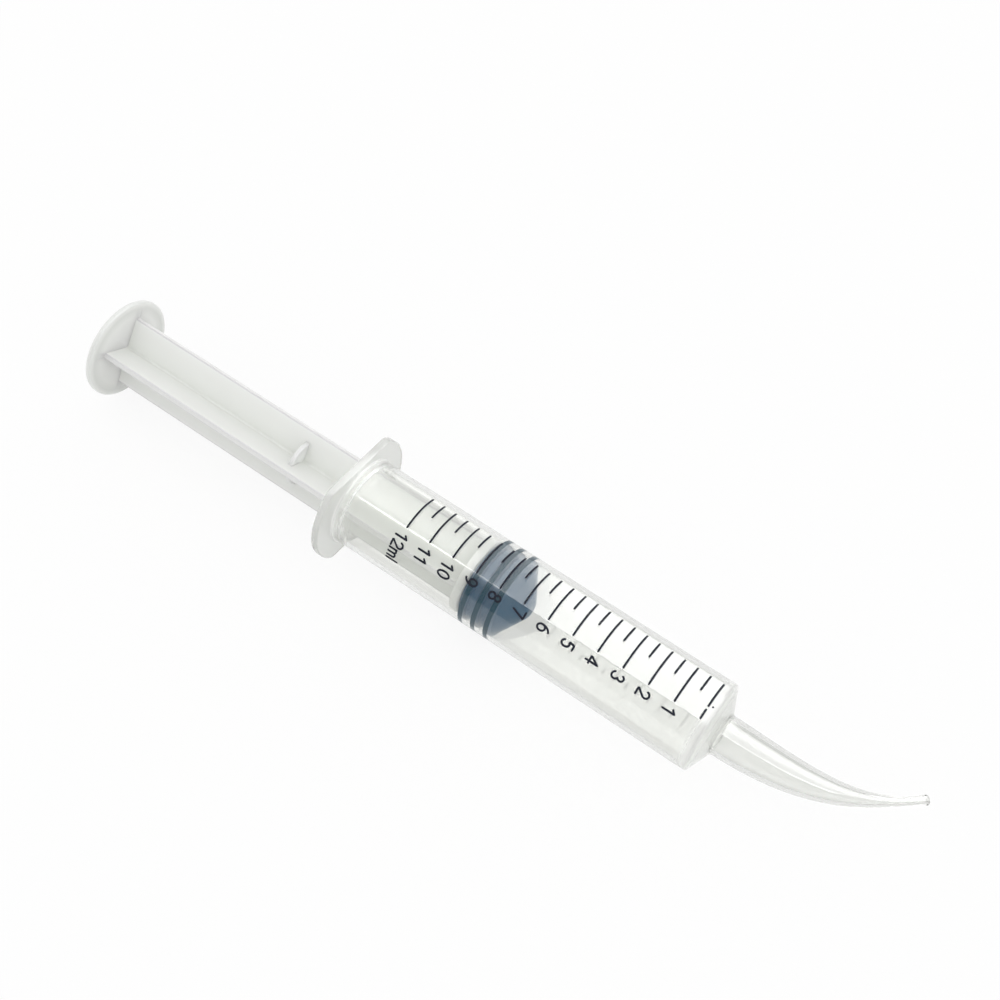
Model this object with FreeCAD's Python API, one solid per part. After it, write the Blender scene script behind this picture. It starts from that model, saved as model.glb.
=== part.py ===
import FreeCAD, Part
import math
import os

# Dental syringe of the curved utility type, for 12 ml: a clear barrel with a side-curved nozzle, a rubber
# stopper and a cross-ribbed plunger rod. Lengths are in millimetres.
# X runs along the barrel towards the nozzle and Z is up, square to the two flats of the finger flange.
# Y runs along the flange, towards the side that the nozzle curves to. The origin is on the barrel's axis
# in the plane of the flange's rear face, where the rod goes in.

# Tube and scale. One millilitre of bore sets the distance between two marks of the scale.
bore_diameter = 15.8
barrel_wall = 0.75
graduated_volume = 12.0
mouth_to_full_mark = 15.0
shown_volume = 7.8

# Finger flange: a disc with two flats
flange_diameter = 25.5
flange_across_flats = 19.6
flange_thickness = 1.5
flange_edge_chamfer = 0.3
flange_root_radius = 0.6

# Mouth of the bore: lead-in, the bead that keeps the stopper in, and a relief groove behind the bead
lead_in_depth = 0.5
lead_in_length = 1.3
bead_height = 0.28
bead_land = 0.5
bead_flank = 0.7
relief_depth = 0.15
relief_length = 0.8
relief_runout = 0.5

# Conical end wall
end_wall_slope = 23.0
end_wall_thickness = 0.95
shoulder_radius = 0.6

# Nozzle. A short round root stands on the end wall. From there the centreline and the radius are cubic
# curves of one share: the nozzle leaves along the axis, thins as it bends and ends slanting sideways.
# A reach is how far the centreline holds its direction at that end, and a fullness is the value that
# pulls the radius there.
nozzle_length = 34.0
nozzle_root_length = 0.8
nozzle_offset = 11.3
nozzle_end_angle = 46.0
nozzle_root_reach = 16.0
nozzle_tip_reach = 11.9
nozzle_root_radius = 3.85
nozzle_root_fullness = 3.7
nozzle_tip_fullness = 0.55
nozzle_tip_radius = 0.92
nozzle_root_wall = 0.8
nozzle_tip_wall = 0.5
nozzle_root_fillet = 0.5
nozzle_lip_radius = 0.15
nozzle_sections = 9

# Stopper: three sealing ribs, a blunt cone in front and an undercut socket behind
seal_clearance = 0.03
seal_ribs = 3
seal_pitch = 2.75
seal_crest = 0.8
seal_foot = 1.3
seal_groove_depth = 0.7
stopper_rear_rim = 0.45
nose_land = 0.4
nose_slope = 32.0
nose_flat_radius = 1.6
nose_radius = 1.4
nose_gap = 0.1

# Head of the rod in the stopper's socket
socket_lip = 1.8
head_radius = 3.6
head_cylinder = 1.8
head_taper = 1.4
neck_radius = 2.4
head_clearance = 0.05

# Plunger rod
rod_length = 87.7
thumb_diameter = 20.8
thumb_thickness = 1.3
thumb_edge_chamfer = 0.35
rib_reach = 7.1
rib_edge_thickness = 1.1
rib_root_thickness = 1.6
rib_root_radius = 0.6
rod_turn = 62.0
web_radius = 4.6
web_thickness = 1.0
web_from_thumb = 44.0
front_disc_radius = 7.5
front_disc_thickness = 1.8
front_disc_edge_chamfer = 0.25

# How closely an edge's place or radius matches when it is looked up
edge_match = 0.001

# Places along the axis that follow from the sizes above
bore_radius = bore_diameter / 2
barrel_radius = bore_radius + barrel_wall
mark_spacing = 1000.0 / (math.pi * bore_radius ** 2)
zero_mark_x = mouth_to_full_mark + graduated_volume * mark_spacing
reading_x = zero_mark_x - shown_volume * mark_spacing

# Stopper's cross-sizes, and its rear face. The reading is taken at the front edge of the front rib.
seal_radius = bore_radius - seal_clearance
groove_radius = seal_radius - seal_groove_depth
front_rib_x = reading_x - seal_crest / 2
stopper_rear_x = front_rib_x - (seal_ribs - 1) * seal_pitch - seal_foot / 2 - stopper_rear_rim

# End wall. When the front rib is at the zero mark, the nose stops just short of the nozzle's inner mouth.
nose_rise = math.tan(math.radians(nose_slope))
wall_rise = math.tan(math.radians(end_wall_slope))
lumen_root_radius = nozzle_root_radius - nozzle_root_wall
lumen_mouth_x = zero_mark_x + nose_land + (groove_radius - lumen_root_radius) * nose_rise + nose_gap
bore_end_x = lumen_mouth_x - (bore_radius - lumen_root_radius) * wall_rise
wall_outer_x = lumen_mouth_x + end_wall_thickness / math.cos(math.radians(end_wall_slope))
shoulder_x = wall_outer_x - (barrel_radius - lumen_root_radius) * wall_rise
nozzle_root_x = wall_outer_x - (nozzle_root_radius - lumen_root_radius) * wall_rise
nozzle_start_x = nozzle_root_x + nozzle_root_length
nozzle_end_x = nozzle_root_x + nozzle_length

# Rod: its front disc stands just behind the stopper
rod_front_x = stopper_rear_x - head_clearance
front_disc_x = rod_front_x - front_disc_thickness
thumb_rear_x = rod_front_x - rod_length
thumb_front_x = thumb_rear_x + thumb_thickness


def outline(corners):
    """Closed outline through (x, radius, rounding) corners, where a rounding becomes a tangent arc."""
    places = [FreeCAD.Vector(x, radius, 0) for x, radius, rounding in corners]
    arrivals = []
    departures = []
    arcs = []
    for number, here in enumerate(places):
        rounding = corners[number][2]
        back = (places[number - 1] - here).normalize()
        ahead = (places[(number + 1) % len(places)] - here).normalize()
        half = back.getAngle(ahead) / 2
        arrivals.append(here + back * (rounding / math.tan(half)))
        departures.append(here + ahead * (rounding / math.tan(half)))
        if rounding:
            middle = here + (back + ahead).normalize() * (rounding / math.sin(half) - rounding)
            arcs.append(Part.Arc(arrivals[-1], middle, departures[-1]).toShape())
        else:
            arcs.append(None)
    edges = []
    for number, arc in enumerate(arcs):
        edges.append(Part.makeLine(departures[number - 1], arrivals[number]))
        if arc:
            edges.append(arc)
    return Part.Wire(edges)


def revolved(corners):
    """Turns an outline about the barrel's axis."""
    face = Part.Face(outline(corners))
    return face.revolve(FreeCAD.Vector(0, 0, 0), FreeCAD.Vector(1, 0, 0), 360)


def disc(start_x, thickness, radius):
    """A flat round disc on the axis."""
    return Part.makeCylinder(radius, thickness, FreeCAD.Vector(start_x, 0, 0), FreeCAD.Vector(1, 0, 0))


def rims_of(plate):
    """Edges of a plate that lie square to the axis."""
    return [edge for edge in plate.Edges if edge.BoundBox.XLength < edge_match]


def circle_at(shape, place_x, radius):
    """The shape's round edge of one radius in one plane square to the axis."""
    found = []
    for edge in rims_of(shape):
        alike = isinstance(edge.Curve, Part.Circle) and abs(edge.Curve.Radius - radius) < edge_match
        if alike and abs(edge.BoundBox.Center.x - place_x) < edge_match:
            found.append(edge)
    return found


def cubic(controls, share):
    """Value of a cubic curve with four control values at a share from 0 to 1."""
    rest = 1 - share
    factors = (rest ** 3, 3 * rest ** 2 * share, 3 * rest * share ** 2, share ** 3)
    return sum(factor * control for factor, control in zip(factors, controls))


def cubic_slope(controls, share):
    """How fast that curve changes with the share."""
    rest = 1 - share
    steps = [after - before for before, after in zip(controls, controls[1:])]
    factors = (3 * rest ** 2, 6 * rest * share, 3 * share ** 2)
    return sum(factor * step for factor, step in zip(factors, steps))


def nozzle_circle(share, root_wall, tip_wall):
    """Centre, direction and radius of the nozzle at a share of its length, less the wall there."""
    end_angle = math.radians(nozzle_end_angle)
    pull_x = nozzle_end_x - nozzle_tip_reach * math.cos(end_angle)
    pull_y = nozzle_offset - nozzle_tip_reach * math.sin(end_angle)
    x_controls = (nozzle_start_x, nozzle_start_x + nozzle_root_reach, pull_x, nozzle_end_x)
    y_controls = (0.0, 0.0, pull_y, nozzle_offset)
    radii = (nozzle_root_radius, nozzle_root_fullness, nozzle_tip_fullness, nozzle_tip_radius)
    centre = FreeCAD.Vector(cubic(x_controls, share), cubic(y_controls, share), 0)
    along = FreeCAD.Vector(cubic_slope(x_controls, share), cubic_slope(y_controls, share), 0)
    wall = root_wall + (tip_wall - root_wall) * share
    return centre, along.normalize(), cubic(radii, share) - wall


def nozzle_outside():
    """Solid with a smooth skin through circles square to the centreline.

    Each circle is four exact quarter arcs, held by eight control points that lie 45 degrees apart. Every
    control point has a smooth track along the nozzle, and the tracks together are the skin.
    """
    shares = [number / (nozzle_sections - 1) for number in range(nozzle_sections)]
    tracks = []
    weights = []
    for corner in range(9):
        angle = math.radians(-45 * corner)
        weight = math.cos(math.radians(45 * (corner % 2)))
        points = []
        for share in shares:
            centre, along, radius = nozzle_circle(share, 0, 0)
            across = FreeCAD.Vector(-along.y, along.x, 0) * math.cos(angle)
            upward = FreeCAD.Vector(0, 0, math.sin(angle))
            points.append(centre + (across + upward) * (radius / weight))
        track = Part.BSplineCurve()
        track.interpolate(Points=points, Parameters=shares)
        tracks.append(track)
        weights.append(weight)
    poles = list(zip(*[track.getPoles() for track in tracks]))
    skin = Part.BSplineSurface()
    skin.buildFromPolesMultsKnots(
        poles,
        tracks[0].getMultiplicities(),
        [3, 2, 2, 2, 3],
        tracks[0].getKnots(),
        [0, 1, 2, 3, 4],
        False,
        False,
        3,
        2,
        [weights] * len(poles),
    )
    side = skin.toShape()
    ends = [Part.Face(Part.Wire([edge])) for edge in side.Edges if edge.isClosed()]
    shell = Part.makeShell([side] + ends)
    shell.sewShape()
    solid = Part.Solid(shell)
    tip = FreeCAD.Vector(nozzle_end_x, nozzle_offset, 0)
    lip = [edge for edge in solid.Edges if (edge.CenterOfMass - tip).Length < nozzle_tip_radius / 2]
    return solid.makeFillet(nozzle_lip_radius, lip)


def nozzle_lumen():
    """The hollow of the nozzle, as straight tapers from one circle to the next."""
    wires = []
    for number in range(nozzle_sections):
        share = number / (nozzle_sections - 1)
        centre, along, radius = nozzle_circle(share, nozzle_root_wall, nozzle_tip_wall)
        wires.append(Part.Wire([Part.makeCircle(radius, centre, along)]))
    return Part.makeLoft(wires, True, True)


def flange_plate():
    """A round plate cut by two flats, with its edges broken."""
    plate = disc(0, flange_thickness, flange_diameter / 2)
    slab = Part.makeBox(flange_thickness, flange_diameter, flange_across_flats)
    slab.translate(FreeCAD.Vector(0, -flange_diameter / 2, -flange_across_flats / 2))
    plate = plate.common(slab)
    return plate.makeChamfer(flange_edge_chamfer, rims_of(plate))


def make_barrel():
    """Tube, finger flange, mouth with its bead, end wall and nozzle, all one moulding."""
    bead_radius = bore_radius - bead_height
    flank_start_x = lead_in_length + bead_land
    relief_start_x = flank_start_x + bead_flank
    relief_end_x = relief_start_x + relief_length
    outside = [
        (0, 0, 0),
        (0, barrel_radius, 0),
        (shoulder_x, barrel_radius, shoulder_radius),
        (nozzle_root_x, nozzle_root_radius, nozzle_root_fillet),
        (nozzle_start_x, nozzle_root_radius, 0),
        (nozzle_start_x, 0, 0),
    ]
    inside = [
        (0, 0, 0),
        (0, bore_radius + lead_in_depth, 0),
        (lead_in_length, bead_radius, 0),
        (flank_start_x, bead_radius, 0),
        (relief_start_x, bore_radius + relief_depth, 0),
        (relief_end_x, bore_radius + relief_depth, 0),
        (relief_end_x + relief_runout, bore_radius, 0),
        (bore_end_x, bore_radius, 0),
        (lumen_mouth_x, lumen_root_radius, 0),
        (nozzle_start_x, lumen_root_radius, 0),
        (nozzle_start_x, 0, 0),
    ]
    body = revolved(outside).fuse(flange_plate()).removeSplitter()
    body = body.makeFillet(flange_root_radius, circle_at(body, flange_thickness, barrel_radius))
    hollow = revolved(inside).fuse(nozzle_lumen())
    return body.fuse(nozzle_outside()).cut(hollow)


def plunger_head(extra):
    """Neck and tapered head on the rod's front, or with extra the socket that takes them."""
    head_start_x = stopper_rear_x + socket_lip + head_clearance - extra
    taper_start_x = head_start_x + head_cylinder + extra
    taper_end_x = taper_start_x + head_taper + extra
    radius = head_radius + extra
    return revolved([
        (rod_front_x - extra, 0, 0),
        (rod_front_x - extra, neck_radius + extra, 0),
        (head_start_x, neck_radius + extra, 0),
        (head_start_x, radius, 0),
        (taper_start_x, radius, 0),
        (taper_end_x, radius - head_taper, 0),
        (taper_end_x, 0, 0),
    ])


def make_stopper():
    """Rubber stopper: sealing ribs, grooves, cone and socket."""
    corners = [(stopper_rear_x, 0, 0), (stopper_rear_x, groove_radius, 0)]
    for number in reversed(range(seal_ribs)):
        centre = front_rib_x - number * seal_pitch
        corners.append((centre - seal_foot / 2, groove_radius, 0))
        corners.append((centre - seal_crest / 2, seal_radius, 0))
        corners.append((centre + seal_crest / 2, seal_radius, 0))
        corners.append((centre + seal_foot / 2, groove_radius, 0))
    cone_start = reading_x + nose_land
    cone_end = cone_start + (groove_radius - nose_flat_radius) * nose_rise
    corners.append((cone_start, groove_radius, 0))
    corners.append((cone_end, nose_flat_radius, nose_radius))
    corners.append((cone_end, 0, 0))
    return revolved(corners).cut(plunger_head(head_clearance))


def rib_cross(start_x, length):
    """Four tapered ribs in a cross, with rounded inner corners, as one bar along the axis."""
    corners = []
    for quarter in range(4):
        angle = math.radians(rod_turn + 90 * quarter)
        out = FreeCAD.Vector(0, math.cos(angle), math.sin(angle))
        side = FreeCAD.Vector(0, -math.sin(angle), math.cos(angle))
        corners.append(out * rib_reach - side * rib_edge_thickness / 2)
        corners.append(out * rib_reach + side * rib_edge_thickness / 2)
        corners.append((out + side) * rib_root_thickness / 2)
    base = Part.Face(Part.makePolygon(corners + corners[:1]))
    base.translate(FreeCAD.Vector(start_x, 0, 0))
    bar = base.extrude(FreeCAD.Vector(length, 0, 0))
    inner_radius = rib_root_thickness / math.sqrt(2)
    inner = []
    for edge in bar.Edges:
        middle = edge.CenterOfMass
        if abs(math.hypot(middle.y, middle.z) - inner_radius) < edge_match:
            inner.append(edge)
    return bar.makeFillet(rib_root_radius, inner)


def make_plunger_rod():
    """Thumb disc, ribs, web, front disc, neck and head, all one moulding."""
    thumb = disc(thumb_rear_x, thumb_thickness, thumb_diameter / 2)
    thumb = thumb.makeChamfer(thumb_edge_chamfer, rims_of(thumb))
    front = disc(front_disc_x, front_disc_thickness, front_disc_radius)
    front = front.makeChamfer(front_disc_edge_chamfer, rims_of(front))
    ribs = rib_cross(thumb_front_x, front_disc_x - thumb_front_x)
    web = disc(thumb_front_x + web_from_thumb, web_thickness, web_radius)
    return thumb.fuse([ribs, web, front, plunger_head(0)]).removeSplitter()


os.makedirs("parts", exist_ok=True)
pieces = {
    "barrel": make_barrel(),
    "stopper": make_stopper(),
    "plunger_rod": make_plunger_rod(),
}
for name, shape in pieces.items():
    shape.exportStep("parts/" + name + ".step")
    print(name, "solids", len(shape.Solids), "valid", shape.isValid(), "volume", round(shape.Volume, 2))
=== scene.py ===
import bpy
import math
import numpy as np
from mathutils import Matrix


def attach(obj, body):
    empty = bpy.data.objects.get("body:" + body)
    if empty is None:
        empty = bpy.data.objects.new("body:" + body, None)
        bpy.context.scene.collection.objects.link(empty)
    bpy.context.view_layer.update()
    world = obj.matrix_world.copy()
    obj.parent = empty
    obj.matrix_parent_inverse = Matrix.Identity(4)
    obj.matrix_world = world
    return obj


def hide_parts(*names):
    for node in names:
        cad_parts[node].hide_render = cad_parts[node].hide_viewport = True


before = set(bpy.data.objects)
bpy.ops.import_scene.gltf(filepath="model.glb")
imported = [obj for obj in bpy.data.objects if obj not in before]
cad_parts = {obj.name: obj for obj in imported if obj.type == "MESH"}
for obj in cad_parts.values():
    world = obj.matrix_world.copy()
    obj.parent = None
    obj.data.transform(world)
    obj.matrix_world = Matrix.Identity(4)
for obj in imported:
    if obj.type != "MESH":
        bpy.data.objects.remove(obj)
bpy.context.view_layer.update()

# Dental syringe of the curved utility type, lying on a pale table. Sizes are in millimetres, and skin() turns
# them into Blender's metres. The lamp, arch, card and camera are placed in metres. X runs along the barrel to
# the nozzle, the nozzle curves towards +Y, and Z is up.


# Barrel.
# One injection moulding of clear polypropylene: tube, finger flange with two flats, conical end wall and the
# tapered nozzle with its lumen. Its surfaces are polished in the mould, so it is glossy and seen through.

millimetre = 0.001


def rounded_path(corners, flat=0.1, steps=6):
    """Points along straight runs whose corners are arcs. A corner is (first, second, rounding).

    An arc touches both runs at rounding / tan(half the corner's angle) from the corner, and takes 0.45 of the
    shorter run at most. Its points turn evenly from one touching radius to the other. A point stands a little
    off each end of an arc, by flat or a fifth of the shorter run, so that the run beyond it is shaded flat.
    """
    places = np.array([corner[:2] for corner in corners], float)
    path = [places[:1]]
    for number in range(1, len(corners) - 1):
        here = places[number]
        back = places[number - 1] - here
        ahead = places[number + 1] - here
        reach = min(np.linalg.norm(back), np.linalg.norm(ahead))
        back /= np.linalg.norm(back)
        ahead /= np.linalg.norm(ahead)
        half = math.acos(back @ ahead) / 2
        rounding = min(corners[number][2], 0.45 * reach * math.tan(half))
        touch = rounding / math.tan(half)
        middle = here + (back + ahead) / np.linalg.norm(back + ahead) * rounding / math.sin(half)
        first = here + back * touch - middle
        last = here + ahead * touch - middle
        turn = math.pi - 2 * half
        share = np.linspace(0, 1, steps)[:, None]
        arc = middle + (first * np.sin((1 - share) * turn) + last * np.sin(share * turn)) / math.sin(turn)
        stand = min(flat, 0.2 * reach)
        path += [arc[:1] + back * stand, arc, arc[-1:] + ahead * stand]
    return np.vstack(path + [places[-1:]])


def skin(name, shells):
    """Mesh of closed shells, each (rings, ends): ring i joins ring i + 1 point by point, and each ring itself.

    Without ends the last ring joins the first. With ends, two points close the outer rings as poles.
    """
    points = []
    faces = []
    start = 0
    for rings, ends in shells:
        count, around = rings.shape[:2]
        index = start + np.arange(count * around).reshape(count, around)
        after = np.roll(index, -1, axis=0)
        if ends is not None:
            after = after[:-1]
        ring = index[:len(after)]
        quads = np.stack([ring, np.roll(ring, -1, axis=1), np.roll(after, -1, axis=1), after], axis=-1)
        points.append(rings.reshape(-1, 3))
        faces += quads.reshape(-1, 4).tolist()
        start += count * around
        if ends is not None:
            points.append(np.array(ends, float))
            first = np.full(around, start)
            faces += np.stack([first, np.roll(index[0], -1), index[0]], axis=-1).tolist()
            faces += np.stack([first + 1, index[-1], np.roll(index[-1], -1)], axis=-1).tolist()
            start += 2
    mesh = bpy.data.meshes.new(name)
    mesh.from_pydata((np.vstack(points) * millimetre).tolist(), [], faces)
    mesh.shade_smooth()
    piece = bpy.data.objects.new(name, mesh)
    bpy.context.scene.collection.objects.link(piece)
    return piece


def moulded_finish(name, colour, grain, depth, shiny, dull):
    """Material with a fine skin texture. Noise of the grain's size on Object coordinates raises the surface by
    depth, and a second noise ten times as coarse moves the roughness between shiny and dull."""
    material = bpy.data.materials.new(name)
    material.use_nodes = True
    nodes = material.node_tree.nodes
    links = material.node_tree.links
    shader = nodes["Principled BSDF"]
    shader.inputs["Base Color"].default_value = (*colour, 1)
    place = nodes.new("ShaderNodeTexCoord")
    fine = nodes.new("ShaderNodeTexNoise")
    fine.inputs["Scale"].default_value = 1 / (grain * millimetre)
    fine.inputs["Detail"].default_value = 2
    coarse = nodes.new("ShaderNodeTexNoise")
    coarse.inputs["Scale"].default_value = 0.1 / (grain * millimetre)
    coarse.inputs["Detail"].default_value = 3
    spread = nodes.new("ShaderNodeMapRange")
    spread.inputs["From Min"].default_value = 0.3
    spread.inputs["From Max"].default_value = 0.7
    spread.inputs["To Min"].default_value = shiny
    spread.inputs["To Max"].default_value = dull
    bump = nodes.new("ShaderNodeBump")
    bump.inputs["Distance"].default_value = depth * millimetre
    links.new(place.outputs["Object"], fine.inputs["Vector"])
    links.new(place.outputs["Object"], coarse.inputs["Vector"])
    links.new(coarse.outputs["Fac"], spread.inputs["Value"])
    links.new(spread.outputs["Result"], shader.inputs["Roughness"])
    links.new(fine.outputs["Fac"], bump.inputs["Height"])
    links.new(bump.outputs["Normal"], shader.inputs["Normal"])
    return material


def colour_ramp(nodes, stops, start=0.0, end=1.0):
    """Color Ramp through rising (place, colour) stops, straight between them. A plain number stands for a grey.

    A place becomes its share of the way from start to end. A new ramp has two stops, which take the first two.
    """
    ramp = nodes.new("ShaderNodeValToRGB")
    elements = ramp.color_ramp.elements
    for number, (place, colour) in enumerate(stops):
        position = (place - start) / (end - start)
        element = elements[number] if number < 2 else elements.new(position)
        element.position = position
        element.color = (*colour, 1) if isinstance(colour, tuple) else (colour, colour, colour, 1)
    return ramp


bore_radius = 7.9
barrel_radius = 8.65
mouth_radius = bore_radius + 0.5
bead_radius = bore_radius - 0.28
bead_rear_x = 1.8
bead_front_x = 2.5
relief_radius = bore_radius + 0.15
relief_rear_x = 3.3
relief_front_x = 4.3
bore_start_x = 4.8
flange_radius = 12.75
flange_half_height = 9.8
flange_thickness = 1.5
bore_end_x = 77.219
shoulder_x = 77.933
lumen_mouth_x = 79.278
nozzle_root_x = 79.971
nozzle_start = np.array([80.771, 0.0])
nozzle_end = np.array([113.971, 11.3])
nozzle_end_angle = math.radians(46)
nozzle_root_reach = 16.0
nozzle_tip_reach = 11.9
nozzle_radii = (3.85, 3.7, 0.55, 0.92)
nozzle_root_wall = 0.8
nozzle_tip_wall = 0.5
lumen_root_radius = nozzle_radii[0] - nozzle_root_wall
lip_radius = 0.15
around_barrel = 240


def cubic(controls, share):
    """Cubic curve pulled by four control values, weighed (1-s)^3, 3(1-s)^2 s, 3(1-s) s^2 and s^3."""
    rest = 1 - share
    weights = np.stack([rest ** 3, 3 * rest ** 2 * share, 3 * rest * share ** 2, share ** 3], axis=-1)
    return weights @ np.array(controls, float)


def nozzle_circles(share, wall):
    """Rows (x, y, tilt, radius) of circles square to the nozzle's curved centreline, at shares of its length.

    The centreline is a cubic curve that leaves both ends along their own directions. The tilt is the angle
    between a point just behind and one just ahead. The radius is a cubic too, less wall times a thickness that
    falls evenly from root to tip.
    """
    end_direction = np.array([math.cos(nozzle_end_angle), math.sin(nozzle_end_angle)])
    pulls = [
        nozzle_start,
        nozzle_start + [nozzle_root_reach, 0],
        nozzle_end - nozzle_tip_reach * end_direction,
        nozzle_end,
    ]
    share_step = 0.0005
    centre = cubic(pulls, share)
    slope = cubic(pulls, share + share_step) - cubic(pulls, share - share_step)
    tilt = np.arctan2(slope[:, 1], slope[:, 0])
    radius = cubic(nozzle_radii, share) - wall * (nozzle_root_wall + (nozzle_tip_wall - nozzle_root_wall) * share)
    return np.column_stack([centre, tilt, radius])


def lip_circles(turns, out_radius, rounding):
    """Rows of circles round the nozzle's lip, an arc of one rounding at the end of the last taper.

    A circle stands rounding x (1 - sin) back from the end, and is rounding x (1 - cos) smaller.
    """
    back = rounding * (1 - np.sin(turns))
    radius = out_radius + rounding * (np.cos(turns) - 1)
    centre = nozzle_end - back[:, None] * [math.cos(nozzle_end_angle), math.sin(nozzle_end_angle)]
    return np.column_stack([centre, np.full(len(turns), nozzle_end_angle), radius])


def barrel_rings():
    """Rings of the whole barrel, one closed loop from the lumen's root through the bore, round the flange and
    along the outside to the nozzle's lip, and back through the lumen.

    Each ring is a circle about its own centre, square to its own direction. The nozzle's circles run to 0.993
    of its length outside, where the lip's arc follows. On the flange the radius is drawn in, by its share of
    the way out, to a disc cut by two flats. Of disc and flat it is a smooth lesser, the root to -90 of the sum
    of their powers to -90.
    """
    turned = rounded_path([
        (nozzle_start[0], lumen_root_radius, 0),
        (lumen_mouth_x, lumen_root_radius, 0.5),
        (bore_end_x, bore_radius, 0.5),
        (bore_start_x, bore_radius, 1.0),
        (relief_front_x, relief_radius, 0.6),
        (relief_rear_x, relief_radius, 0.3),
        (bead_front_x, bead_radius, 0.3),
        (bead_rear_x, bead_radius, 0.3),
        (0, mouth_radius, 0.2),
        (0, flange_radius, 0.3),
        (flange_thickness, flange_radius, 0.3),
        (flange_thickness, barrel_radius, 0.6),
        (shoulder_x, barrel_radius, 0.6),
        (nozzle_root_x, nozzle_radii[0], 0.5),
        (nozzle_start[0], nozzle_radii[0], 0),
    ])
    straight = np.column_stack([turned[:, 0], np.zeros((len(turned), 2)), turned[:, 1]])
    quarter = np.linspace(0, math.pi / 2, 5)
    rows = np.vstack([
        straight,
        nozzle_circles(np.linspace(0.01, 0.993, 110), 0),
        lip_circles(quarter, nozzle_radii[3], lip_radius),
        nozzle_circles(np.linspace(1, 0.01, 90), 1),
    ])
    angle = np.linspace(0, 2 * math.pi, around_barrel, endpoint=False)
    flat = flange_half_height / np.maximum(np.abs(np.sin(angle)), 0.01)
    sharpness = 90
    rim = (flange_radius ** -sharpness + flat ** -sharpness) ** (-1 / sharpness)
    x, y, tilt, radius = [column[:, None] for column in rows.T]
    out = np.clip((radius - barrel_radius) / (flange_radius - barrel_radius), 0, 1)
    radius = radius + out * (rim - flange_radius)
    across = radius * np.cos(angle)
    return np.stack([x - across * np.sin(tilt), y + across * np.cos(tilt), radius * np.sin(angle)], axis=-1)


barrel = skin("clear_barrel", [(barrel_rings(), None)])

polypropylene_ior = 1.49
clear_tint = (0.88, 0.885, 0.868)
# The front and nozzle tints are painted shade, darker than the plastic's own clear tint
front_painted_shade_tint = (0.83, 0.835, 0.818)
nozzle_painted_shade_tint = (0.82, 0.825, 0.81)
clear_plastic = moulded_finish("clear polypropylene", clear_tint, grain=9.0, depth=0.006, shiny=0.015, dull=0.045)
nodes = clear_plastic.node_tree.nodes
links = clear_plastic.node_tree.links
glossy_clear = nodes["Principled BSDF"]
glossy_clear.inputs["IOR"].default_value = polypropylene_ior
# By its place along X the plastic is milkier and softer at the thick flange, the mouth and the thick end wall,
# and its base colour carries painted shade, a little darker along the front of the tube and over the nozzle
ramp_start_x = -20
ramp_end_x = 125
place = nodes.new("ShaderNodeTexCoord")
parts_of_place = nodes.new("ShaderNodeSeparateXYZ")
along = nodes.new("ShaderNodeMapRange")
along.inputs["From Min"].default_value = ramp_start_x * millimetre
along.inputs["From Max"].default_value = ramp_end_x * millimetre
clearness = colour_ramp(nodes, [
    (1.75, 0.66), (2.475, 0.93), (7.55, 0.985), (75.7, 0.985), (77.005, 0.45), (78.165, 0.5), (79.035, 0.86),
    (81.5, 0.97),
], ramp_start_x, ramp_end_x)
softness = colour_ramp(nodes, [
    (1.75, 0.22), (6.825, 0), (75.7, 0), (77.005, 0.15), (80.05, 0.08), (82.95, 0),
], ramp_start_x, ramp_end_x)
# Painted shade: the base colour darkens along the front of the tube and over the nozzle
tint_with_painted_shade = colour_ramp(nodes, [
    (38, clear_tint), (48.15, front_painted_shade_tint), (74.975, front_painted_shade_tint), (76.425, clear_tint), (80.05, clear_tint),
    (81.5, nozzle_painted_shade_tint),
], ramp_start_x, ramp_end_x)
rougher = nodes.new("ShaderNodeMath")
rougher.operation = "ADD"
fine_roughness = glossy_clear.inputs["Roughness"].links[0].from_socket
links.new(place.outputs["Object"], parts_of_place.inputs["Vector"])
links.new(parts_of_place.outputs["X"], along.inputs["Value"])
for ramp in (clearness, softness, tint_with_painted_shade):
    links.new(along.outputs["Result"], ramp.inputs["Fac"])
links.new(tint_with_painted_shade.outputs["Color"], glossy_clear.inputs["Base Color"])
links.new(clearness.outputs["Color"], glossy_clear.inputs["Transmission Weight"])
links.new(fine_roughness, rougher.inputs[0])
links.new(softness.outputs["Color"], rougher.inputs[1])
links.new(rougher.outputs["Value"], glossy_clear.inputs["Roughness"])
# Lamps shine through the thin wall without being bent, so the shader lets their rays past
see_through = nodes.new("ShaderNodeBsdfTransparent")
see_through.inputs["Color"].default_value = (0.97, 0.975, 0.965, 1)
rays = nodes.new("ShaderNodeLightPath")
lamp_rays = nodes.new("ShaderNodeMath")
lamp_rays.operation = "MAXIMUM"
let_past = nodes.new("ShaderNodeMixShader")
links.new(rays.outputs["Is Shadow Ray"], lamp_rays.inputs[0])
links.new(rays.outputs["Is Diffuse Ray"], lamp_rays.inputs[1])
links.new(lamp_rays.outputs["Value"], let_past.inputs["Fac"])
links.new(glossy_clear.outputs["BSDF"], let_past.inputs[1])
links.new(see_through.outputs["BSDF"], let_past.inputs[2])
links.new(let_past.outputs["Shader"], nodes["Material Output"].inputs["Surface"])
depth_tint = nodes.new("ShaderNodeVolumeAbsorption")
depth_tint.inputs["Color"].default_value = (0.79, 0.80, 0.78, 1)
depth_tint.inputs["Density"].default_value = 60
links.new(depth_tint.outputs["Volume"], nodes["Material Output"].inputs["Volume"])
barrel.data.materials.append(clear_plastic)
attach(barrel, "barrel")
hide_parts("barrel")


# Printed scale.
# Dark ink printed on the outside of the tube: a mark each half millilitre, long at the whole ones, and a
# number at each of those. The ink stands two hundredths of a millimetre proud.

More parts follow.
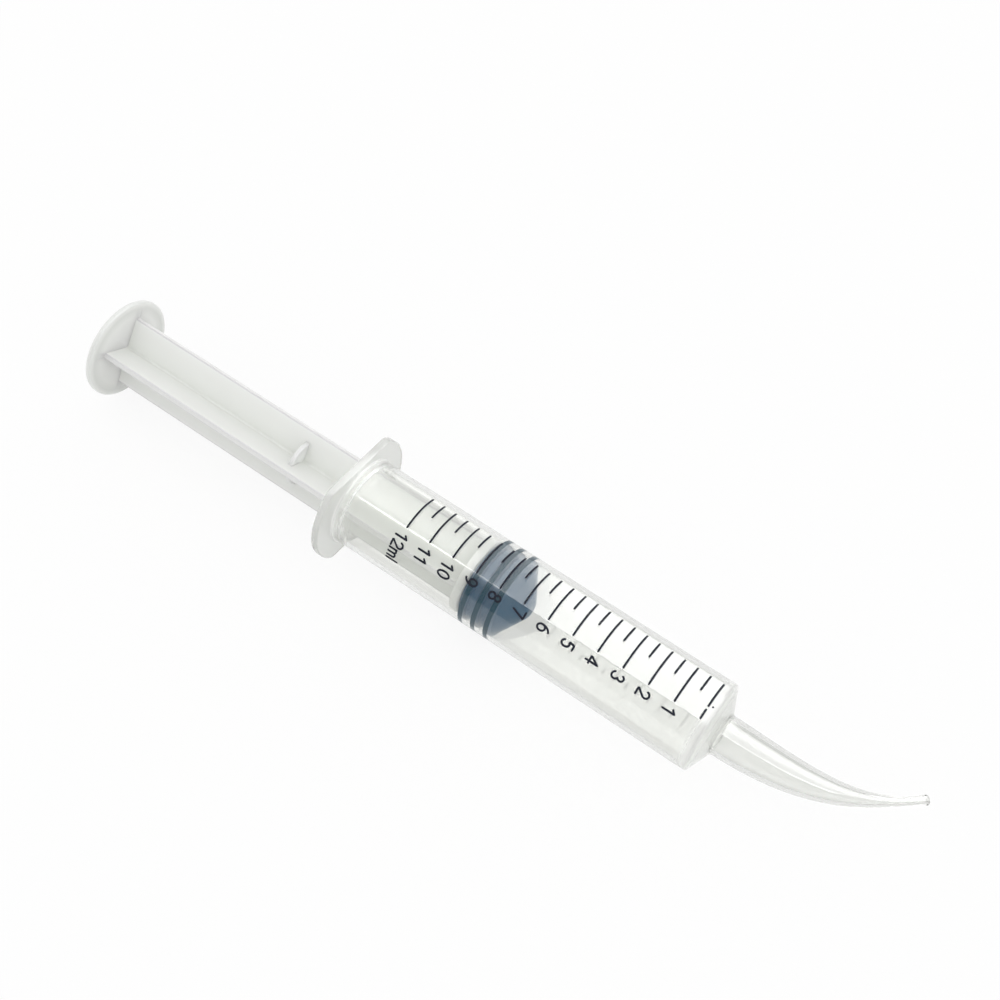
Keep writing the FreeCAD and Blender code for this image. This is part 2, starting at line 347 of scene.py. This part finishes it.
pen_width = 0.40
ink_height = 0.02
millilitres = 12
full_mark_x = 15.0
mark_spacing = 5.1003
marks_start = barrel_radius * math.radians(65.5)
long_mark_end = barrel_radius * math.radians(119)
short_mark_end = barrel_radius * math.radians(91.7)
zero_break_start = barrel_radius * math.radians(103.2)
zero_break_end = barrel_radius * math.radians(108.6)
zero_mark_end = long_mark_end + 0.1
dot_place = barrel_radius * math.radians(101.7)
dot_past_zero = 0.75
dot_run = 0.04
dot_width = 0.34
figure_height = 2.35
figure_step = 1.68
first_figure = long_mark_end + 1.2


def ink_line(path, width):
    """Closed shell of one pen stroke on the tube, from a path of (x, way round the tube) places.

    The path is sampled evenly and carried on by half the pen's width at both ends. Each sample carries a flat
    ellipse across the path, whose width shrinks over the ends as a half circle's does. Its middle stands 0.6 of
    the ink's height above the tube, and its top half of that height higher.
    """
    sample_spacing = 0.12
    look_ahead = 0.05
    around_stroke = 8
    pole_stand = 0.02
    path = np.array(path, float)
    steps = np.linalg.norm(np.diff(path, axis=0), axis=1)
    along = np.concatenate([[0], np.cumsum(steps)])

    def at(way):
        """Place on the path at a way along it."""
        return np.column_stack([np.interp(way, along, path[:, 0]), np.interp(way, along, path[:, 1])])

    half = width / 2
    cap = half * np.sin(np.linspace(-1.4, 0, 5))
    inner = np.linspace(0, along[-1], max(2, int(along[-1] / sample_spacing) + 1))
    way = np.concatenate([cap, inner[1:-1], along[-1] - cap[::-1]])
    held = np.clip(way, 0, along[-1])
    run = at(held + look_ahead) - at(held - look_ahead)
    direction = run / np.linalg.norm(run, axis=1)[:, None]
    centre = at(held) + direction * (way - held)[:, None]
    beyond = np.abs(way - held) / half
    half_here = half * np.sqrt(np.maximum(1 - beyond ** 2, 0))
    sideways = np.column_stack([-direction[:, 1], direction[:, 0]])
    turn = np.linspace(0, 2 * math.pi, around_stroke, endpoint=False)
    flat = centre[:, None, :] + sideways[:, None, :] * (half_here[:, None] * np.cos(turn))[..., None]
    proud = ink_height * (0.6 + 0.5 * np.sin(turn)) * np.ones((len(centre), 1))
    ends = centre[[0, -1]] + direction[[0, -1]] * half * [[-pole_stand], [pole_stand]]
    return on_tube(flat, proud), on_tube(ends, np.full(2, 0.6 * ink_height))


def on_tube(places, height):
    """Points from (x, way round the tube) places at a height above the tube's outside: the angle is the way
    divided by the tube's radius."""
    radius = barrel_radius + height
    angle = places[..., 1] / barrel_radius
    return np.stack([places[..., 0], radius * np.cos(angle), radius * np.sin(angle)], axis=-1)


def bow(middle_x, middle_y, reach_x, reach_y, start, end):
    """Part of an ellipse between two angles in degrees, as places in a figure's cell."""
    turn = np.radians(np.linspace(start, end, 25))
    return np.column_stack([middle_x + reach_x * np.cos(turn), middle_y + reach_y * np.sin(turn)])


# Each figure's strokes, in a cell that is 1 high and 0.58 wide, or 0.73 for the m
figures = {
    "0": [bow(0.29, 0.5, 0.25, 0.5, 90, 450)],
    "1": [[(0.36, 0), (0.36, 1)], [(0.36, 1), (0.12, 0.78)]],
    "2": [np.vstack([bow(0.29, 0.73, 0.25, 0.27, 170, -35), [(0.03, 0), (0.57, 0)]])],
    "3": [np.vstack([bow(0.27, 0.76, 0.22, 0.24, 160, -80), bow(0.27, 0.27, 0.26, 0.27, 85, -160)])],
    "4": [[(0.44, 0), (0.44, 1)], [(0.44, 1), (0.02, 0.3), (0.6, 0.3)]],
    "5": [np.vstack([[(0.51, 1), (0.13, 1), (0.08, 0.55)], bow(0.28, 0.32, 0.25, 0.32, 140, -150)])],
    "6": [bow(0.29, 0.32, 0.25, 0.32, 90, 450), bow(0.47, 0.32, 0.43, 0.69, 180, 100)],
    "7": [[(0.04, 1), (0.56, 1), (0.22, 0)]],
    "8": [bow(0.29, 0.76, 0.21, 0.24, 0, 360), bow(0.29, 0.26, 0.26, 0.26, 0, 360)],
    "9": [bow(0.29, 0.68, 0.25, 0.32, 90, 450), bow(0.11, 0.68, 0.43, 0.69, 0, -80)],
    "m": [[(0.05, 0), (0.05, 0.68)], np.vstack([bow(0.22, 0.48, 0.17, 0.2, 180, 0), [(0.39, 0)]]),
          np.vstack([bow(0.56, 0.48, 0.17, 0.2, 180, 0), [(0.73, 0)]])],
    "l": [[(0.28, 0), (0.28, 1)]],
}


def figure_lines(word, x, way_round):
    """Pen strokes of a word whose tops point to the nozzle and which reads round the tube.

    A cell's height runs along X about the mark, and its width round the tube, one figure's step a letter.
    """
    lines = []
    for number, letter in enumerate(word):
        for stroke in figures[letter]:
            across, up = np.array(stroke, float).T
            place_x = x + (up - 0.5) * figure_height
            place_round = way_round + number * figure_step + across * figure_height
            lines.append(ink_line(np.column_stack([place_x, place_round]), pen_width))
    return lines


mark_shells = []
for half_mark in range(2 * millilitres + 1):
    mark_x = full_mark_x + half_mark * mark_spacing / 2
    if half_mark == 2 * millilitres:
        runs = [(marks_start, zero_break_start), (zero_break_end, zero_mark_end)]
    elif half_mark % 2:
        runs = [(marks_start, short_mark_end)]
    else:
        runs = [(marks_start, long_mark_end)]
    mark_shells += [ink_line([(mark_x, start), (mark_x, end)], pen_width) for start, end in runs]
dot_x = full_mark_x + millilitres * mark_spacing + dot_past_zero
mark_shells.append(ink_line([(dot_x, dot_place), (dot_x, dot_place + dot_run)], dot_width))
figure_shells = []
for whole in range(1, millilitres + 1):
    word = f"{whole}ml" if whole == millilitres else str(whole)
    figure_shells += figure_lines(word, full_mark_x + (millilitres - whole) * mark_spacing, first_figure)
scale_marks = skin("scale_marks", mark_shells)
scale_figures = skin("scale_figures", figure_shells)

ink = moulded_finish("printing ink", (0.012, 0.014, 0.024), grain=0.25, depth=0.004, shiny=0.55, dull=0.8)
ink.node_tree.nodes["Principled BSDF"].inputs["Specular IOR Level"].default_value = 0.12
for printed in (scale_marks, scale_figures):
    printed.data.materials.append(ink)
    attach(printed, "barrel")


# Stopper.
# One moulding of blue-grey rubber with three sealing ribs and a blunt cone, pressed onto the rod's head. The
# rubber is satin where it is free, and dull and darker where a rib is pressed on the bore.

reading_x = 36.421
rib_pitch = 2.75
rib_radius = 7.905
rib_top_width = 1.04
rib_foot_width = 1.5
crest_back = 0.4
groove_radius = 7.17
stopper_rear_x = 29.421
cone_start_x = 36.821
cone_end_x = 40.302
cone_tip_radius = 1.6
socket_lip_x = 31.2
socket_lip_radius = 2.45
socket_radius = 3.65
socket_taper_x = 33.1
socket_floor_x = 34.5
socket_floor_radius = 2.25
around_stopper = 192


def stopper_rings():
    """Rings of the stopper about the axis: the socket's floor, neck and rear face, the ribs, then the cone.

    The outline is straight runs with rounded corners, turned about the axis.
    """
    outline = [(socket_floor_x, 0, 0), (socket_floor_x, socket_floor_radius, 0.2),
               (socket_taper_x, socket_radius, 0.2), (socket_lip_x, socket_radius, 0.1),
               (socket_lip_x, socket_lip_radius, 0.3), (stopper_rear_x, socket_lip_radius, 0.2),
               (stopper_rear_x, groove_radius, 0.15)]
    for number in (2, 1, 0):
        crest = reading_x - crest_back - number * rib_pitch
        outline += [(crest - rib_foot_width / 2, groove_radius, 0.25), (crest - rib_top_width / 2, rib_radius, 0.12),
                    (crest + rib_top_width / 2, rib_radius, 0.12), (crest + rib_foot_width / 2, groove_radius, 0.25)]
    outline += [(cone_start_x, groove_radius, 0.3), (cone_end_x, cone_tip_radius, 1.4), (cone_end_x, 0, 0)]
    path = rounded_path(outline, 0.04)[1:-1]
    angle = np.linspace(0, 2 * math.pi, around_stopper, endpoint=False)
    x, radius = path[:, :1], path[:, 1:]
    rings = np.stack([x + 0 * angle, radius * np.cos(angle), radius * np.sin(angle)], axis=-1)
    return rings, [(socket_floor_x, 0, 0), (cone_end_x, 0, 0)]


stopper = skin("rubber_stopper", [stopper_rings()])
rubber = moulded_finish("blue-grey rubber", (0.034, 0.105, 0.19), grain=0.35, depth=0.006, shiny=0.26, dull=0.38)
rubber.node_tree.nodes["Principled BSDF"].inputs["Specular IOR Level"].default_value = 0.3
pressed_rubber = moulded_finish("rubber pressed on the wall", (0.012, 0.055, 0.085),
                                grain=0.35, depth=0.006, shiny=0.5, dull=0.6)
pressed_rubber.node_tree.nodes["Principled BSDF"].inputs["Specular IOR Level"].default_value = 0.1
stopper.data.materials.append(rubber)
stopper.data.materials.append(pressed_rubber)
# A face whose corners all lie on a crest touches the bore, and takes the second look
crest_depth = 0.02
points = np.empty(3 * len(stopper.data.vertices))
stopper.data.vertices.foreach_get("co", points)
corners = np.empty(len(stopper.data.loops), int)
stopper.data.loops.foreach_get("vertex_index", corners)
first_corner = np.empty(len(stopper.data.polygons), int)
stopper.data.polygons.foreach_get("loop_start", first_corner)
corner_radius = np.hypot(points[1::3], points[2::3])[corners] / millimetre
touching = np.minimum.reduceat(corner_radius, first_corner) > rib_radius - crest_depth
stopper.data.polygons.foreach_set("material_index", touching.astype(int))
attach(stopper, "stopper")
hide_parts("stopper")


# Plunger rod.
# One moulding of natural polypropylene: thumb disc, four ribs in a cross, a round web half way, the front disc
# behind the stopper, and the head inside it. The plastic is milky and passes light. Its colour carries painted
# light where it would pass more and painted shade along its edges.

thumb_rear_x = -58.329
thumb_thickness = 1.3
thumb_front_x = thumb_rear_x + thumb_thickness
thumb_radius = 10.4
rib_reach = 7.1
rib_edge = 1.1
rib_root = 1.6
rod_turn = math.radians(62)
web_x = -13.029
web_thickness = 1.0
web_front_x = web_x + web_thickness
web_radius = 4.6
front_disc_x = 27.571
rod_front_x = 29.371
front_disc_radius = 7.5
neck_radius = 2.4
neck_end_x = 31.271
head_radius = 3.6
head_taper_x = 33.071
head_end_x = 34.471
head_end_radius = 2.2


def rod_angles():
    """Angles round the rod from one rib's middle, 0.4 degrees apart over the ribs' edges and 1.5 between them.

    An eighth of a turn is mirrored to a quarter, and the quarter is repeated for the four ribs.
    """
    edge = np.linspace(0, 7.6, 20)
    flank = np.linspace(8, 45, 26)
    eighth = np.concatenate([edge, flank])
    quarter = np.concatenate([eighth, 90 - eighth[-2:0:-1]])
    return np.radians(np.concatenate([quarter + 90 * number for number in range(4)]))


def cross_radius(angle):
    """Distance from the axis to the cross of ribs at an angle from a rib's middle.

    The outline of one quarter, a rib's edge, its tapered side and the rounded inner corner, is read as
    distance against angle, since every ray from the axis leaves the cross once.
    """
    half_edge = rib_edge / 2
    half_root = rib_root / 2
    outline = rounded_path([
        (rib_reach, 0, 0), (rib_reach, half_edge, 0.22), (half_root, half_root, 0.6),
        (half_edge, rib_reach, 0.22), (0, rib_reach, 0),
    ], 0.05, 24)
    runs = np.linspace(0, 1, 40)[:, None]
    fine = np.vstack([start + (end - start) * runs for start, end in zip(outline, outline[1:])])
    turn = np.arctan2(fine[:, 1], fine[:, 0])
    order = np.argsort(turn, kind="stable")
    return np.interp(angle % (math.pi / 2), turn[order], np.hypot(fine[:, 0], fine[:, 1])[order])


def rod_rings():
    """Rings of the rod: at each place along the axis the greater of the cross and a round radius.

    The round radius draws the thumb disc, the web, the front disc and, past the ribs, the neck and head.
    """
    angle = rod_angles()
    cross = cross_radius(angle)
    thumb = rounded_path([(thumb_rear_x, 0, 0), (thumb_rear_x, thumb_radius, 0.45),
                          (thumb_front_x, thumb_radius, 0.45), (thumb_front_x, 0.5, 0)])[1:-1]
    web = rounded_path([(web_x - 0.3, 0.6, 0), (web_x, 0.9, 0.3), (web_x, web_radius, 0.25),
                        (web_front_x, web_radius, 0.25), (web_front_x, 0.9, 0.3), (web_front_x + 0.3, 0.6, 0)])
    front = rounded_path([(front_disc_x, 0.5, 0), (front_disc_x, front_disc_radius, 0.3),
                          (rod_front_x, front_disc_radius, 0.3), (rod_front_x, neck_radius, 0.2),
                          (neck_end_x, neck_radius, 0.1), (neck_end_x, head_radius, 0.15),
                          (head_taper_x, head_radius, 0.15), (head_end_x, head_end_radius, 0.15),
                          (head_end_x, 0, 0)])[:-1]
    round_path = np.vstack([thumb, [(thumb_front_x + 0.12, 0), (thumb_front_x + 0.3, 0), (web_x - 0.6, 0)], web,
                            [(web_front_x + 0.6, 0), (front_disc_x - 0.25, 0)], front])
    ribbed = (round_path[:, 0] > thumb_front_x - 0.01) & (round_path[:, 0] < front_disc_x + 0.01)
    radius = np.where(ribbed[:, None], np.maximum(cross, round_path[:, 1:]), round_path[:, 1:])
    turned = angle + rod_turn
    x = round_path[:, :1] + 0 * turned
    rings = np.stack([x, radius * np.cos(turned), radius * np.sin(turned)], axis=-1)
    return rings, [(thumb_rear_x, 0, 0), (head_end_x, 0, 0)]


def edge_share(rings):
    """How strongly a point takes painted shade, darker lines that stand for light leaving the plastic sideways at its
    edges and for shade where the ribs meet the thumb disc.

    It is 1 within 0.1 mm of a rib's long edge, measured across the axis, and fades to nought at 0.35 mm, with
    0.4 as the least between a rib's two edges. The web's rim counts 0.45, and the line where the ribs meet the
    thumb disc 0.5.
    """
    x = rings[..., 0]
    from_axis = np.hypot(rings[..., 1], rings[..., 2])
    share = np.zeros(rings.shape[:2])
    for number in range(4):
        turn = rod_turn + number * math.pi / 2
        for side in (-1, 1):
            edge_y = rib_reach * math.cos(turn) - side * rib_edge / 2 * math.sin(turn)
            edge_z = rib_reach * math.sin(turn) + side * rib_edge / 2 * math.cos(turn)
            away = np.hypot(rings[..., 1] - edge_y, rings[..., 2] - edge_z)
            share = np.maximum(share, np.clip(1 - (away - 0.1) / 0.25, 0, 1))
    share = np.maximum(share, 0.4 * (from_axis > rib_reach - 0.1))
    by_web = np.abs(x - web_x - web_thickness / 2) < web_thickness / 2 + 0.01
    web_rim = by_web & (from_axis > 2) & (from_axis < web_radius + 0.1)
    share = np.maximum(share, 0.45 * web_rim)
    from_thumb = x - thumb_front_x
    share *= (from_thumb > 0.2) & (x < front_disc_x - 0.1)
    return np.where((from_thumb > 0.05) & (from_thumb < 0.2), 0.5, share).ravel()


def light_passed(rings):
    """Painted light and shade for the rod's base colour, by how much light the rod would pass: on the ribs half the
    share of the way out, since they thin outwards, and in the thumb disc 1 at its middle, less 0.4 times the square of
    the share of the way out."""
    from_axis = np.hypot(rings[..., 1], rings[..., 2])
    in_disc = rings[..., 0] < thumb_front_x + 0.05
    return np.where(in_disc, 1 - 0.4 * (from_axis / thumb_radius) ** 2, 0.5 * from_axis / rib_reach).ravel()


rod_surface = rod_rings()
rod = skin("cross_rod", [rod_surface])
# Painted shade: a darker share along the rib edges, the web's rim and the ribs' foot on the thumb disc, kept on each
# point
edge_shade_attribute = rod.data.attributes.new("edge", "FLOAT", "POINT")
edge_shade_attribute.data.foreach_set("value", np.concatenate([edge_share(rod_surface[0]), [0, 0]]))
# Painted light and shade: how much light each point would pass, kept on each point to brighten or darken the rod's
# colour
painted_passed = rod.data.attributes.new("light_passed", "FLOAT", "POINT")
painted_passed.data.foreach_set("value", np.concatenate([light_passed(rod_surface[0]), [1, 0]]))
# The rib ends and the thumb disc's middle are painted light, and the disc's rim is painted shade
rib_root_tint = (0.73, 0.742, 0.715)
rib_end_painted_light = (0.745, 0.753, 0.732)
disc_rim_painted_shade = (0.64, 0.65, 0.63)
disc_middle_painted_light = (0.98, 0.985, 0.965)
milky_plastic = moulded_finish("natural polypropylene", rib_root_tint, grain=0.5, depth=0.004, shiny=0.28, dull=0.4)
nodes = milky_plastic.node_tree.nodes
links = milky_plastic.node_tree.links
milky_shader = nodes["Principled BSDF"]
milky_shader.inputs["IOR"].default_value = polypropylene_ior
milky_shader.inputs["Subsurface Weight"].default_value = 1
milky_shader.inputs["Subsurface Radius"].default_value = (1.0, 1.0, 1.0)
milky_shader.inputs["Subsurface Scale"].default_value = 3 * millimetre
painted_passed_place = nodes.new("ShaderNodeAttribute")
painted_passed_place.attribute_name = "light_passed"
# Painted light and shade: the rod's base colour follows how much light each point would pass
rod_tone_with_painted_light = colour_ramp(nodes, [(0, rib_root_tint), (0.5, rib_end_painted_light), (0.6, disc_rim_painted_shade), (0.85, disc_middle_painted_light)])
edge_shade_place = nodes.new("ShaderNodeAttribute")
edge_shade_place.attribute_name = "edge"
# Painted shade: the edge share darkens the base colour towards this grey at the ribs' edges, the web's rim and the
# ribs' foot on the thumb disc
edge_shade_mix = nodes.new("ShaderNodeMix")
edge_shade_mix.data_type = "RGBA"
edge_shade_mix.inputs["B"].default_value = (0.5, 0.49, 0.505, 1)
links.new(painted_passed_place.outputs["Fac"], rod_tone_with_painted_light.inputs["Fac"])
links.new(rod_tone_with_painted_light.outputs["Color"], edge_shade_mix.inputs["A"])
links.new(edge_shade_place.outputs["Fac"], edge_shade_mix.inputs["Factor"])
links.new(edge_shade_mix.outputs["Result"], milky_shader.inputs["Base Color"])
rod.data.materials.append(milky_plastic)
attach(rod, "plunger_rod")
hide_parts("plunger_rod")


# Table, lamps and camera.
# A pale table on which the syringe lies on its flange's flat and its shoulder, an even sky, one weak soft lamp,
# an arch and a card for gloss and clear plastic to show, and the camera from the photograph's side.


def light_path_share(nodes, links):
    """One for camera, glossy and transmission rays, as the greatest of the three flags, and nought for the rays
    that carry light."""
    rays = nodes.new("ShaderNodeLightPath")
    seen = nodes.new("ShaderNodeMath")
    seen.operation = "MAXIMUM"
    links.new(rays.outputs["Is Camera Ray"], seen.inputs[0])
    links.new(rays.outputs["Is Glossy Ray"], seen.inputs[1])
    either = nodes.new("ShaderNodeMath")
    either.operation = "MAXIMUM"
    links.new(seen.outputs["Value"], either.inputs[0])
    links.new(rays.outputs["Is Transmission Ray"], either.inputs[1])
    return either.outputs["Value"]


table_half = 2000.0
table_gap = 0.03
flange_foot = np.array([flange_thickness, -flange_half_height - table_gap])
shoulder_foot = np.array([shoulder_x, -barrel_radius - table_gap])
fall = (shoulder_foot[1] - flange_foot[1]) / (shoulder_foot[0] - flange_foot[0])
table_corners = [(x, y, flange_foot[1] + fall * (x - flange_foot[0]))
                 for x, y in ((-table_half, -table_half), (table_half, -table_half),
                              (table_half, table_half), (-table_half, table_half))]
table_mesh = bpy.data.meshes.new("table")
table_mesh.from_pydata((np.array(table_corners) * millimetre).tolist(), [], [(0, 1, 2, 3)])
table = bpy.data.objects.new("table", table_mesh)
bpy.context.scene.collection.objects.link(table)
table_white = bpy.data.materials.new("table white")
table_white.use_nodes = True
nodes = table_white.node_tree.nodes
links = table_white.node_tree.links
nodes.remove(nodes["Principled BSDF"])
matt = nodes.new("ShaderNodeBsdfDiffuse")
matt.inputs["Color"].default_value = (0.94, 0.94, 0.935, 1)
glow = nodes.new("ShaderNodeEmission")
glow.inputs["Color"].default_value = (1, 1, 1, 1)
glow_share = nodes.new("ShaderNodeMath")
glow_share.operation = "MULTIPLY"
glow_share.inputs[1].default_value = 0.88
mixed = nodes.new("ShaderNodeMixShader")
links.new(light_path_share(nodes, links), glow_share.inputs[0])
links.new(glow_share.outputs["Value"], mixed.inputs["Fac"])
links.new(matt.outputs["BSDF"], mixed.inputs[1])
links.new(glow.outputs["Emission"], mixed.inputs[2])
links.new(mixed.outputs["Shader"], nodes["Material Output"].inputs["Surface"])
table_mesh.materials.append(table_white)

sky = bpy.data.worlds.new("even sky")
bpy.context.scene.world = sky
sky.use_nodes = True
nodes = sky.node_tree.nodes
links = sky.node_tree.links
background = nodes["Background"]
background.inputs["Color"].default_value = (1, 1, 1, 1)
strength = nodes.new("ShaderNodeMapRange")
strength.inputs["To Min"].default_value = 0.97
strength.inputs["To Max"].default_value = 1
links.new(light_path_share(nodes, links), strength.inputs["Value"])
links.new(strength.outputs["Result"], background.inputs["Strength"])

key_lamp = bpy.data.lights.new("soft_key", "AREA")
key_lamp.shape = "RECTANGLE"
key_lamp.size = 0.5
key_lamp.size_y = 0.5
key_lamp.energy = 0.12
key = bpy.data.objects.new("soft_key", key_lamp)
bpy.context.scene.collection.objects.link(key)
key.location = (0.02, 0.1, 0.6)
key.visible_camera = False
key.visible_glossy = False
key.visible_transmission = False


def glow_sheet(name, points, radiance):
    """Stage mesh from a grid of points in metres, joined to their neighbours, which glows by each point's
    radiance. Only glossy and transmission rays see it."""
    rows, columns = points.shape[:2]
    index = np.arange(rows * columns).reshape(rows, columns)
    quads = np.stack([index[:-1, :-1], index[:-1, 1:], index[1:, 1:], index[1:, :-1]], axis=-1).reshape(-1, 4)
    mesh = bpy.data.meshes.new(name)
    mesh.from_pydata(points.reshape(-1, 3).tolist(), [], quads.tolist())
    brightness = mesh.attributes.new("radiance", "FLOAT", "POINT")
    brightness.data.foreach_set("value", radiance.ravel())
    sheet = bpy.data.objects.new(name, mesh)
    bpy.context.scene.collection.objects.link(sheet)
    material = bpy.data.materials.new(name)
    material.use_nodes = True
    nodes = material.node_tree.nodes
    nodes.remove(nodes["Principled BSDF"])
    emission = nodes.new("ShaderNodeEmission")
    value = nodes.new("ShaderNodeAttribute")
    value.attribute_name = "radiance"
    material.node_tree.links.new(value.outputs["Fac"], emission.inputs["Strength"])
    material.node_tree.links.new(emission.outputs["Emission"], nodes["Material Output"].inputs["Surface"])
    mesh.materials.append(material)
    sheet.visible_camera = False
    sheet.visible_diffuse = False
    sheet.visible_shadow = False
    return sheet


# The arch over the syringe. Its turn rises from the far side, in degrees. The bright side draws the white band
# on the tube, a narrow strip the white line beside the marks, and the grey side the darker half. Over the rear
# and beyond the front it has tones of its own, which the tube's rear half and the nozzle show.
arch_x = np.linspace(-0.5, 0.5, 101)[:, None]
arch_turn = np.linspace(2, 176, 349)[None, :]
arch_radius = 0.55
arch_points = np.stack([
    arch_x + 0 * arch_turn,
    arch_radius * np.cos(np.radians(arch_turn)) + 0 * arch_x,
    arch_radius * np.sin(np.radians(arch_turn)) + 0 * arch_x,
], axis=-1)
grey_start = 121
front_by_x = np.interp(arch_x, [-0.11, -0.085, -0.065], [1, 1.4, 3.0])
front_by_turn = np.interp(arch_turn, [10, 25, 45], [0.6, 0.8, 1])
front_glow = 1 + 1.7 * front_by_x * front_by_turn
rear_glow = np.interp(arch_turn, [12, 20, 26, 48, 72, 98, 112], [2.5, 0.3, 0.5, 2.6, 3.8, 4.7, 4.3])
rear_share = np.interp(arch_x, [-0.27, -0.22, -0.14, -0.125], [0, 1, 1, 0])
bright_side = front_glow + rear_share * (rear_glow - front_glow)
line_share = np.interp(arch_x, [-0.14, -0.09], [1, 0])
white_line = 7 * line_share * np.interp(arch_turn, [116.2, 117, 118.6, 119.4], [0, 1, 1, 0])
line_fade = 2.4 * line_share * np.exp((grey_start - arch_turn) / 9)
grey_side = np.interp(arch_x, [-0.22, -0.14, -0.12], [0.4, 1.7, 0.3]) + line_fade
barrel_glow = np.where(arch_turn > grey_start, grey_side, bright_side + white_line)
nozzle_glow = np.interp(arch_turn, [33, 37, 39, 42, 46, 87, 93, 115, 117.5, 120.5, 122, 150],
                        [0.8, 0.1, 0.3, 3.5, 6.5, 6, 4.2, 4.2, 8.5, 8.5, 0.5, 0.2])
nozzle_share = np.interp(arch_x, [0.033, 0.048], [0, 1])
glow_sheet("bright_arch", arch_points, barrel_glow + nozzle_share * (nozzle_glow - barrel_glow))

# A grey card beyond the table, which only clear plastic shows: it draws the thin lines along the nozzle
card_half_width = 2.0
card_y = 0.9
card_low = 0.05
card_high = 0.16
card_grid = np.array([[(-card_half_width, card_y, z), (card_half_width, card_y, z)] for z in (card_low, card_high)])
grey_card = glow_sheet("grey_card", card_grid, np.full((2, 2), 0.25))
grey_card.visible_glossy = False

# The camera stands where the scale's marks and the tube's outlines in the photograph put it
lens = bpy.data.cameras.new("camera")
lens.lens = 51.11
lens.sensor_width = 36
lens.clip_start = 0.01
lens.clip_end = 20
camera = bpy.data.objects.new("camera", lens)
bpy.context.scene.collection.objects.link(camera)
camera.matrix_world = Matrix((
    (0.81304, -0.50968, 0.28142, 0.096976),
    (0.57151, 0.60641, -0.55285, -0.131384),
    (0.11112, 0.61032, 0.78432, 0.210350),
    (0, 0, 0, 1),
))
bpy.context.scene.camera = camera
bpy.context.scene.view_settings.view_transform = "Standard"
